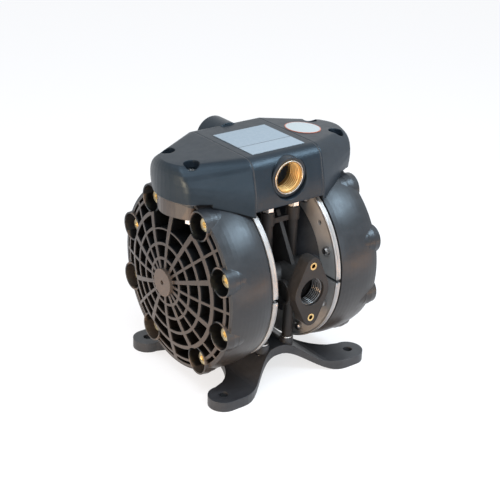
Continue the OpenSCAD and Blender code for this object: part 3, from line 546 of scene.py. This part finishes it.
@dataclass
class FinishBook:
    """Every finish of the pump, made once each."""

    made: dict[str, bpy.types.Material] = field(default_factory=dict)

    def finishes(self) -> dict[str, MouldedPlastic | WorkedMetal | SoftRubber]:
        """The finishes by the name of their material slot or of their own."""
        cool = (0.8, 0.92, 1.0)
        return {
            "black_plastic": MouldedPlastic(
                "black_polypropylene", (0.016, 0.0165, 0.019), (0.035, 0.036, 0.04), 0.34, 0.52, gloss=0.45,
                sheen=cool),
            "cap_plastic": MouldedPlastic(
                "smooth_polypropylene", (0.005, 0.008, 0.012), (0.012, 0.017, 0.024), 0.3, 0.44, gloss=0.34,
                edge=1.2 * MM, sheen=(0.62, 0.84, 1.0)),
            "web_plastic": CoverPlastic(
                "ribbed_polypropylene", (0.009, 0.01, 0.012), (0.022, 0.024, 0.028), 0.28, 0.44, gloss=0.45,
                edge=0.7 * MM, sheen=cool),
            "flange_plastic": MouldedPlastic(
                "worn_polypropylene", (0.004, 0.0038, 0.0036), (0.018, 0.0165, 0.016), 0.44, 0.64, gloss=0.35,
                edge=0.7 * MM, uneven=0.6),
            "thread_plastic": MouldedPlastic(
                "rubbed_thread", (0.012, 0.013, 0.014), (0.05, 0.052, 0.055), 0.16, 0.26, gloss=1.0, edge=0.12 * MM),
            "stainless": WorkedMetal("satin_stainless", grey(0.5), (0.66, 0.66, 0.65), Brush.TURNED_X, 0.24, 0.38),
            "ring_steel": WorkedMetal(
                "dull_ring_steel", (0.26, 0.255, 0.25), (0.37, 0.365, 0.355), Brush.DRAWN, 0.42, 0.6, metal=0.35),
            "lip_steel": WorkedMetal(
                "rolled_lip_steel", (0.26, 0.26, 0.265), grey(0.42), Brush.TURNED_X, 0.32, 0.48),
            "fastener_steel": WorkedMetal(
                "bright_fasteners", grey(0.6), (0.78, 0.78, 0.77), Brush.PLATED, 0.2, 0.32),
            "brass": WorkedMetal("turned_brass", (0.56, 0.37, 0.14), (0.8, 0.6, 0.3), Brush.TURNED_Y, 0.18, 0.32),
            "thread_brass": WorkedMetal(
                "dull_brass", (0.5, 0.31, 0.11), (0.7, 0.48, 0.2), Brush.PLATED, 0.4, 0.52, metal=0.6),
            "rim_metal": WorkedMetal(
                "bright_inlet_rim", (0.5, 0.48, 0.45), (0.68, 0.66, 0.62), Brush.PLATED, 0.3, 0.42),
            # Dark brass whose colour is painted shade in the inlet's groove.
            "shaded_groove_brass": WorkedMetal(
                "painted_shade_brass", (0.09, 0.06, 0.03), (0.2, 0.14, 0.07), Brush.PLATED, 0.4, 0.55),
            "dark_gasket": SoftRubber("fibre_gasket", (0.02, 0.022, 0.026), (0.045, 0.05, 0.056)),
            "rubber": SoftRubber("moulded_rubber", grey(0.012), grey(0.03)),
            "acetal": MouldedPlastic("natural_acetal", (0.72, 0.7, 0.64), (0.82, 0.8, 0.75), 0.28, 0.4),
            "spring_steel": WorkedMetal("spring_wire", grey(0.45), grey(0.6), Brush.DRAWN),
            "valve_metal": WorkedMetal("ground_alloy", (0.62, 0.63, 0.64), (0.74, 0.75, 0.76), Brush.TURNED_X),
        }

    def get(self, name: str) -> bpy.types.Material:
        """One material, made when it is first asked for."""
        if name not in self.made:
            self.made[name] = self.finishes()[name].build()
        return self.made[name]

    def keep(self, name: str, finish: TwoToneFilm | RoundSeal | PlatedBolt) -> None:
        """Adds a finish whose numbers come from the frame."""
        self.made[name] = finish.build()


# ---- Meshes ----


class Workshop:
    """Makes the added pieces and hangs them on the housing."""

    def __init__(self, book: FinishBook) -> None:
        """Keeps the finishes at hand.

        Args:
            book: the finishes.
        """
        self.book = book

    def piece(self, name: str, points: Sequence[Vector], faces: Sequence[Sequence[int]], finish: str,
              slot: str) -> None:
        """Makes a finished piece from points and faces.

        Args:
            name: the piece's name.
            points: corners.
            faces: lists of corner numbers.
            finish: key of its finish.
            slot: the record's material slot; not used.
        """
        mesh = bpy.data.meshes.new(name)
        mesh.from_pydata([tuple(p) for p in points], [], [tuple(f) for f in faces])
        mesh.validate()
        mesh.polygons.foreach_set("use_smooth", [True] * len(mesh.polygons))
        mesh.materials.append(self.book.get(finish))
        made = bpy.data.objects.new(name, mesh)
        bpy.context.scene.collection.objects.link(made)
        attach(made, HOUSING)
        LOG.info("piece %s on %s, %d faces", name, HOUSING, len(faces))

    @staticmethod
    def around(axis: Axis, centre: Vector, radius: float, along: float, angle: float) -> Vector:
        """A point about an axis.

        Args:
            axis: the axis.
            centre: a point on it.
            radius: distance from it.
            along: place on it, from the centre.
            angle: turn about it.

        Returns:
            The point.
        """
        c, s = radius * math.cos(angle), radius * math.sin(angle)
        return centre + Vector((along, c, s) if axis is Axis.X else (c, along, s))

    def swept(self, axis: Axis, centre: Vector, profile: Profile, start: float, stop: float,
              steps: int, shift: Callable[[float], tuple[float, float]] | None = None
              ) -> tuple[list[Vector], list[list[int]]]:
        """Sweeps a closed profile about an axis.

        Args:
            axis: the axis.
            centre: a point on it.
            profile: corners as (radius, along).
            start: first angle.
            stop: last angle; a whole turn closes on itself.
            steps: number of steps.
            shift: gives (added along, factor of depth from the first corner) for the share of the sweep.

        Returns:
            Points and faces.
        """
        closed = shift is None and abs(stop - start) > 2 * math.pi - 1e-6
        count = steps if closed else steps + 1
        size = len(profile)
        points, faces = [], []
        base = profile[0][0]
        for i in range(count):
            share = i / steps
            extra, depth = shift(share) if shift else (0.0, 1.0)
            for radius, along in profile:
                points.append(self.around(axis, centre, base + (radius - base) * depth, along + extra,
                                          start + (stop - start) * share))
        for i in range(steps):
            a, b = i * size, ((i + 1) % count) * size
            for j in range(size):
                k = (j + 1) % size
                faces.append([a + j, a + k, b + k, b + j])
        if not closed:
            faces.append(list(range(size))[::-1])
            faces.append([(count - 1) * size + j for j in range(size)])
        return points, faces

    @staticmethod
    def tube(path: Sequence[Vector], radius: float, sides: int = 10) -> tuple[list[Vector], list[list[int]]]:
        """A round bead along a level path.

        Args:
            path: its centre points.
            radius: its radius.
            sides: corners of its section.

        Returns:
            Points and faces.
        """
        points, faces, last = [], [], len(path) - 1
        for i, point in enumerate(path):
            run = (path[min(i + 1, last)] - path[max(i - 1, 0)]).normalized()
            side = run.cross(Vector((0, 0, 1))).normalized()
            lift = side.cross(run)
            for k in range(sides):
                turn = 2 * math.pi * k / sides
                points.append(point + radius * (math.cos(turn) * side + math.sin(turn) * lift))
        for a in range(0, last * sides, sides):
            for k in range(sides):
                m = (k + 1) % sides
                faces.append([a + k, a + m, a + sides + m, a + sides + k])
        faces.append(list(range(sides))[::-1])
        faces.append([last * sides + k for k in range(sides)])
        return points, faces


# ---- Sub-assemblies ----


@dataclass
class ClampRings:
    """Rounded beads on the rolled lips of the steel clamp rings."""

    shop: Workshop
    axis_z: float
    lip: float = 1.5 * MM
    sunk: float = 0.1 * MM
    proud: float = 0.2 * MM
    split: float = 3.0 * MM
    bright: dict[str, float] = field(default_factory=lambda: {"left": 1.5 * MM, "right": 2.3 * MM})
    steps: int = 72

    def lip_profile(self, outer: float, low: float, high: float) -> Profile:
        """Section of the rolled lip with round outer corners.

        Args:
            outer: outer radius of the ring.
            low: where the lip starts along the shaft.
            high: where it ends.

        Returns:
            The corners.
        """
        root, middle, half = outer - self.lip + self.sunk, (low + high) / 2, (high - low) / 2
        corners = [(root, high), (root, low)]
        for i in range(13):
            turn = math.pi * (i / 12 - 0.5)
            bulge = abs(math.cos(turn)) ** 0.6
            corners.append((root + (self.lip + self.proud) * bulge, middle + half * math.sin(turn) * 1.04))
        return corners

    def build(self) -> None:
        """Makes the four beads."""
        for side in ("left", "right"):
            for half, sign in (("upper", 1), ("lower", -1)):
                low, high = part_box(f"{side}_{half}_ring")
                outer = (high.y - low.y) / 2
                gap = math.asin(self.split / 2 / outer)
                start, stop = (gap, math.pi - gap) if sign > 0 else (math.pi + gap, 2 * math.pi - gap)
                inner, outwards = (low.x, 1) if side == "right" else (high.x, -1)
                ends = sorted((inner, inner + outwards * self.bright[side]))
                points, faces = self.shop.swept(Axis.X, Vector((0, 0, self.axis_z)),
                                                self.lip_profile(outer, *ends), start, stop, self.steps)
                self.shop.piece(f"{side}_{half}_ring_lip", points, faces, "lip_steel", "stainless")


@dataclass
class ThreadCut:
    """One female thread, as a helical ridge that stands into its bore."""

    name: str
    centre: Vector
    facing: int
    bore: float = 10.4 * MM
    depth: float = 1.1 * MM
    length: float = 14 * MM
    pitch: float = 1.814 * MM
    rooted: float = 0.12 * MM
    finish: str = "thread_plastic"
    slot: str = "black_plastic"
    start: float = 0.3
    steps_per_turn: int = 64

    def build(self, shop: Workshop) -> None:
        """Makes the ridge.

        Args:
            shop: where it is made.
        """
        turns = self.length / self.pitch - 1
        flank, crest = 0.46 * self.pitch, 0.08 * self.pitch
        root, tip = self.bore + self.rooted, self.bore - self.depth
        profile = [(root, 0.0), (root, flank), (tip, crest), (tip, -crest), (root, -flank)]

        def rise(share: float) -> tuple[float, float]:
            """Place along the bore and depth of the ridge, which runs in and out over half a turn."""
            ease = min(1.0, share * turns / 0.5, (1 - share) * turns / 0.5)
            return self.facing * (share * turns * self.pitch), 0.08 + 0.92 * ease

        points, faces = shop.swept(Axis.Y, self.centre, profile, self.start, self.start + 2 * math.pi * turns,
                                   int(turns * self.steps_per_turn), rise)
        shop.piece(self.name, points, faces, self.finish, self.slot)


@dataclass
class InletRim:
    """The bright rolled edge of the brass air inlet and the groove inside it, whose dark colour is painted shade."""

    shop: Workshop
    outer: float = 12.15 * MM
    middle: float = 11.6 * MM
    inner: float = 10.95 * MM
    sunk: float = 0.3 * MM

    def ring(self, name: str, inner: float, outer: float, proud: float, finish: str) -> None:
        """Makes one round ring on the mouth of the insert.

        Args:
            name: the piece's name.
            inner: its inner radius.
            outer: its outer radius.
            proud: how far its crown stands out.
            finish: key of its finish.
        """
        low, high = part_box("air_inlet_insert")
        centre = Vector((0, low.y, (low.z + high.z) / 2))
        middle, half = (outer + inner) / 2, (outer - inner) / 2
        crown = [(middle + half * math.cos(t), -proud * math.sin(t)) for t in (math.pi * k / 8 for k in range(9))]
        profile = [(outer, self.sunk), *crown, (inner, self.sunk)]
        points, faces = self.shop.swept(Axis.Y, centre, profile, 0.0, 2 * math.pi, 96)
        self.shop.piece(name, points, faces, finish, "brass")

    def build(self) -> None:
        """Makes the edge and the groove."""
        self.ring("air_inlet_edge", self.middle, self.outer, 0.3 * MM, "rim_metal")
        # The groove ring's dark colour is painted shade.
        self.ring("air_inlet_groove", self.inner, self.middle, 0.08 * MM, "shaded_groove_brass")


@dataclass
class CapTrim:
    """The fine bead on the joint between each cap and the duct below it."""

    shop: Workshop
    parting: float
    reach: float
    half: float = 26 * MM
    bow: float = 5 * MM
    corner: float = 9 * MM
    bead: float = 0.4 * MM
    sunk: float = 0.42 * MM

    def outline(self) -> list[tuple[float, float]]:
        """Plan of the right cap's end, from its near side round to its far side."""
        reach = self.reach - self.sunk
        x0, y0 = reach - self.bow - self.corner, self.half - self.corner
        arc = [(x0 + self.corner * math.sin(t), y0 + self.corner * math.cos(t))
               for t in (math.radians(5 + 65 * i / 8) for i in range(9))]
        front = [(reach - self.bow * (k / 8) ** 2, y0 * 1.05 * k / 8) for k in range(7, 0, -1)]
        near = [(x0 - 8 * MM, self.half), *arc, *front]
        return [(x, -y) for x, y in near] + [(reach, 0.0)] + near[::-1]

    def build(self) -> None:
        """Makes both beads."""
        for side, sign in (("left", -1), ("right", 1)):
            path = [Vector((sign * x, y, self.parting)) for x, y in self.outline()]
            points, faces = self.shop.tube(path, self.bead)
            self.shop.piece(f"{side}_cap_joint_bead", points, faces, "black_plastic", "black_plastic")


@dataclass
class Dresser:
    """Puts a finish on every node of the frame."""

    book: FinishBook
    record: dict
    special: dict[str, str] = field(default_factory=lambda: {
        "left_cover": "web_plastic", "right_cover": "web_plastic",
        "left_cap": "cap_plastic", "right_cap": "cap_plastic", "valve_block": "cap_plastic",
        "cap_gaskets": "dark_gasket", "inlet_manifold": "flange_plastic", "outlet_manifold": "flange_plastic",
        **{f"{side}_{half}_ring": "ring_steel" for side in ("left", "right") for half in ("upper", "lower")},
        "name_plate": "name_plate", "round_sticker": "round_sticker", "air_inlet_insert": "thread_brass",
        **{n: "fastener_steel" for n in ("cap_screws", "cap_nuts", "block_studs", "base_screws", "base_washers",
                                          "shaft_nuts")},
    })

    def dress(self, nodes: dict[str, bpy.types.Object]) -> None:
        """Assigns the materials.

        Args:
            nodes: the frame's objects by name.
        """
        slots = {part["node"]: part["material_slot"] for part in self.record["subparts"]}
        for name, thing in nodes.items():
            material = self.book.get(self.special.get(name, slots[name]))
            if not thing.material_slots:
                thing.data.materials.append(material)
            for place in thing.material_slots:
                place.material = material
            LOG.info("node %s wears %s", name, material.name)


# ---- Studio ----


@dataclass(frozen=True)
class StudioCamera:
    """The camera, as a place and three turns."""

    place: Vector
    yaw: float
    pitch: float
    roll: float
    focal: float
    sensor: float = 36.0

    def build(self) -> None:
        """Makes the camera and gives it to the scene."""
        yaw, pitch, roll = (math.radians(a) for a in (self.yaw, self.pitch, self.roll))
        ahead = Vector((-math.sin(yaw) * math.cos(pitch), math.cos(yaw) * math.cos(pitch), -math.sin(pitch)))
        level = Vector((math.cos(yaw), math.sin(yaw), 0))
        rise = level.cross(ahead)
        right = math.cos(roll) * level + math.sin(roll) * rise
        up = -math.sin(roll) * level + math.cos(roll) * rise
        data = bpy.data.cameras.new("studio_camera")
        data.sensor_width = self.sensor
        data.lens = self.focal
        data.clip_start, data.clip_end = 0.01, 50.0
        camera = bpy.data.objects.new("studio_camera", data)
        turn = Matrix((right, up, -ahead)).transposed()
        camera.matrix_world = Matrix.Translation(self.place) @ turn.to_4x4()
        bpy.context.scene.collection.objects.link(camera)
        bpy.context.scene.camera = camera


@dataclass(frozen=True)
class SoftLamp:
    """A rectangular lamp that looks at the pump."""

    name: str
    place: Vector
    size: tuple[float, float]
    power: float
    colour: Colour
    target: Vector = Vector((0, 0, 0.08))

    def build(self) -> None:
        """Makes the lamp."""
        data = bpy.data.lights.new(self.name, "AREA")
        data.shape = "RECTANGLE"
        data.size, data.size_y = self.size
        data.energy, data.color = self.power, self.colour
        lamp = bpy.data.objects.new(self.name, data)
        lamp.location = self.place
        lamp.rotation_euler = (self.target - self.place).to_track_quat("-Z", "Y").to_euler()
        bpy.context.scene.collection.objects.link(lamp)


def seen_directly(tree: bpy.types.NodeTree) -> Socket:
    """One where the camera sees a surface itself, or through a reflection or glass.

    Args:
        tree: the nodes it is laid in.

    Returns:
        The factor socket.
    """
    rays = tree.nodes.new("ShaderNodeLightPath")
    factor = rays.outputs["Is Camera Ray"]
    for name in ("Is Glossy Ray", "Is Transmission Ray"):
        largest = tree.nodes.new("ShaderNodeMath")
        largest.operation = "MAXIMUM"
        tree.links.new(factor, largest.inputs[0])
        tree.links.new(rays.outputs[name], largest.inputs[1])
        factor = largest.outputs[0]
    return factor


@dataclass
class Studio:
    """Floor, world and lamps."""

    level: float = 0.75
    floor_half: float = 3.0
    floor_glow: float = 0.7
    floor_seen: Colour = (0.32, 0.32, 0.33)
    sky: Colour = (0.93, 0.96, 1.0)

    def floor(self) -> None:
        """A wide pale floor that keeps the shadow."""
        half = self.floor_half
        mesh = bpy.data.meshes.new("studio_floor")
        mesh.from_pydata([(-half, -half, 0), (half, -half, 0), (half, half, 0), (-half, half, 0)], [], [(0, 1, 2, 3)])
        floor = bpy.data.objects.new("studio_floor", mesh)
        bench = ShaderBench("pale_floor")
        tone = bench.ramp(bench.noise(3.0), ((0.3, grey(0.86)), (0.7, grey(0.88))))
        lit = bench.node("ShaderNodeBsdfDiffuse")
        bench.link(tone, lit.inputs["Color"])
        faint = bench.node("ShaderNodeBsdfDiffuse")
        faint.inputs["Color"].default_value = (*self.floor_seen, 1.0)
        glow = bench.node("ShaderNodeEmission")
        glow.inputs["Strength"].default_value = self.floor_glow
        pale = bench.node("ShaderNodeAddShader")
        bench.link(glow.outputs[0], pale.inputs[0])
        bench.link(faint.outputs[0], pale.inputs[1])
        mix = bench.node("ShaderNodeMixShader")
        bench.link(seen_directly(bench.tree), mix.inputs["Fac"])
        bench.link(lit.outputs[0], mix.inputs[1])
        bench.link(pale.outputs[0], mix.inputs[2])
        bench.link(mix.outputs[0], bench.output.inputs["Surface"])
        mesh.materials.append(bench.material)
        bpy.context.scene.collection.objects.link(floor)
        floor.location.z = -0.2 * MM

    def world(self) -> None:
        """White to the camera and in reflections, softer as light."""
        world = bpy.data.worlds.new("studio_world")
        world.use_nodes = True
        tree = world.node_tree
        tree.nodes.clear()
        light = tree.nodes.new("ShaderNodeBackground")
        light.inputs["Color"].default_value = (*self.sky, 1.0)
        light.inputs["Strength"].default_value = self.level
        white = tree.nodes.new("ShaderNodeBackground")
        white.inputs["Color"].default_value = (*grey(1.0), 1.0)
        white.inputs["Strength"].default_value = 1.0
        mix = tree.nodes.new("ShaderNodeMixShader")
        tree.links.new(seen_directly(tree), mix.inputs["Fac"])
        tree.links.new(light.outputs[0], mix.inputs[1])
        tree.links.new(white.outputs[0], mix.inputs[2])
        out = tree.nodes.new("ShaderNodeOutputWorld")
        tree.links.new(mix.outputs[0], out.inputs["Surface"])
        bpy.context.scene.world = world

    def lamps(self) -> None:
        """The lamps: cool from above and in front, warm from the left and low on the right."""
        for lamp in (
            SoftLamp("key_cool", Vector((0.26, -0.28, 0.54)), (0.3, 0.2), 2.8, (0.74, 0.88, 1.0)),
            SoftLamp("top_soft", Vector((-0.35, -0.2, 0.85)), (0.6, 0.45), 3.6, (0.8, 0.9, 1.0)),
            SoftLamp("front_soft", Vector((-0.1, -0.95, 0.3)), (0.5, 0.35), 1.8, (0.82, 0.91, 1.0)),
            SoftLamp("left_warm", Vector((-0.6, -0.2, 0.1)), (0.4, 0.16), 4.8, (1.0, 0.66, 0.4)),
            SoftLamp("low_warm", Vector((0.2, -0.42, 0.018)), (0.5, 0.03), 0.45, (1.0, 0.46, 0.16),
                     Vector((0, 0, 0.02))),
        ):
            lamp.build()

    def build(self) -> None:
        """Makes the studio."""
        scene = bpy.context.scene
        scene.view_settings.view_transform = "Standard"
        self.floor()
        self.world()
        self.lamps()


# ---- The pump ----


def thread_cuts(axis_z: float) -> list[ThreadCut]:
    """The four threads of the pump.

    Args:
        axis_z: height of the shaft axis.

    Returns:
        The threads.
    """
    inlet_low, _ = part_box("inlet_manifold")
    _, outlet_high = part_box("outlet_manifold")
    insert_low, insert_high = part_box("air_inlet_insert")
    _, block_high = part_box("valve_block")
    port_z = axis_z + 1.5 * MM
    air_z = (insert_low.z + insert_high.z) / 2
    exhaust_z = air_z + 4 * MM
    mouth, insert_mouth = 0.9 * MM, 0.8 * MM
    air = {"bore": 10.8 * MM, "depth": 0.9 * MM, "length": 13.5 * MM}
    return [
        ThreadCut("inlet_port_thread", Vector((0, inlet_low.y + mouth, port_z)), 1),
        ThreadCut("outlet_port_thread", Vector((0, outlet_high.y - mouth, port_z)), -1),
        ThreadCut("air_inlet_thread", Vector((0, insert_low.y + insert_mouth, air_z)), 1,
                  finish="thread_brass", slot="brass", **air),
        ThreadCut("air_exhaust_thread", Vector((0, block_high.y - mouth, exhaust_z)), -1, **air),
    ]


def main() -> None:
    """Dresses the frame, adds the pieces and sets up the studio."""
    logging.basicConfig(level=logging.INFO, format="%(name)s: %(message)s")
    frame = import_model()

    StudioCamera(Vector((-0.47414, -0.61681, 0.44666)), yaw=-37.5355, pitch=24.8246, roll=1.8702,
                 focal=82.724).build()
    Studio().build()

    shaft_low, shaft_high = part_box("diaphragm_shaft")
    axis_z = (shaft_low.z + shaft_high.z) / 2
    seal_low, seal_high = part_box("round_sticker")
    plate_low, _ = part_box("name_plate")
    ring_low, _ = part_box("right_upper_ring")

    book = FinishBook()
    strip, rim, head_back = 16 * MM, 1.1 * MM, 6 * MM
    book.keep("name_plate", TwoToneFilm("bare_name_plate", (0.24, 0.29, 0.33), (0.255, 0.305, 0.345),
                                        (0.04, 0.045, 0.05), plate_low.y + strip))
    centre = (seal_low + seal_high) / 2
    book.keep("round_sticker", RoundSeal("bare_round_seal", (0.38, 0.41, 0.41), (0.42, 0.13, 0.08),
                                         (centre.x, centre.y), (seal_high.y - seal_low.y) / 2 - rim))
    book.keep("yellow_zinc", PlatedBolt("yellow_zinc_bolt", (0.95, 0.82, 0.52), grey(0.32),
                                        ring_low.x + head_back))
    Dresser(book, frame["record"]).dress(frame["nodes"])

    shop = Workshop(book)
    ClampRings(shop, axis_z).build()
    for cut in thread_cuts(axis_z):
        cut.build(shop)
    InletRim(shop).build()
    _, cap_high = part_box("right_cap")
    parting_z = axis_z + 66 * MM
    CapTrim(shop, parting_z, cap_high.x).build()


if __name__ == "__main__":
    main()
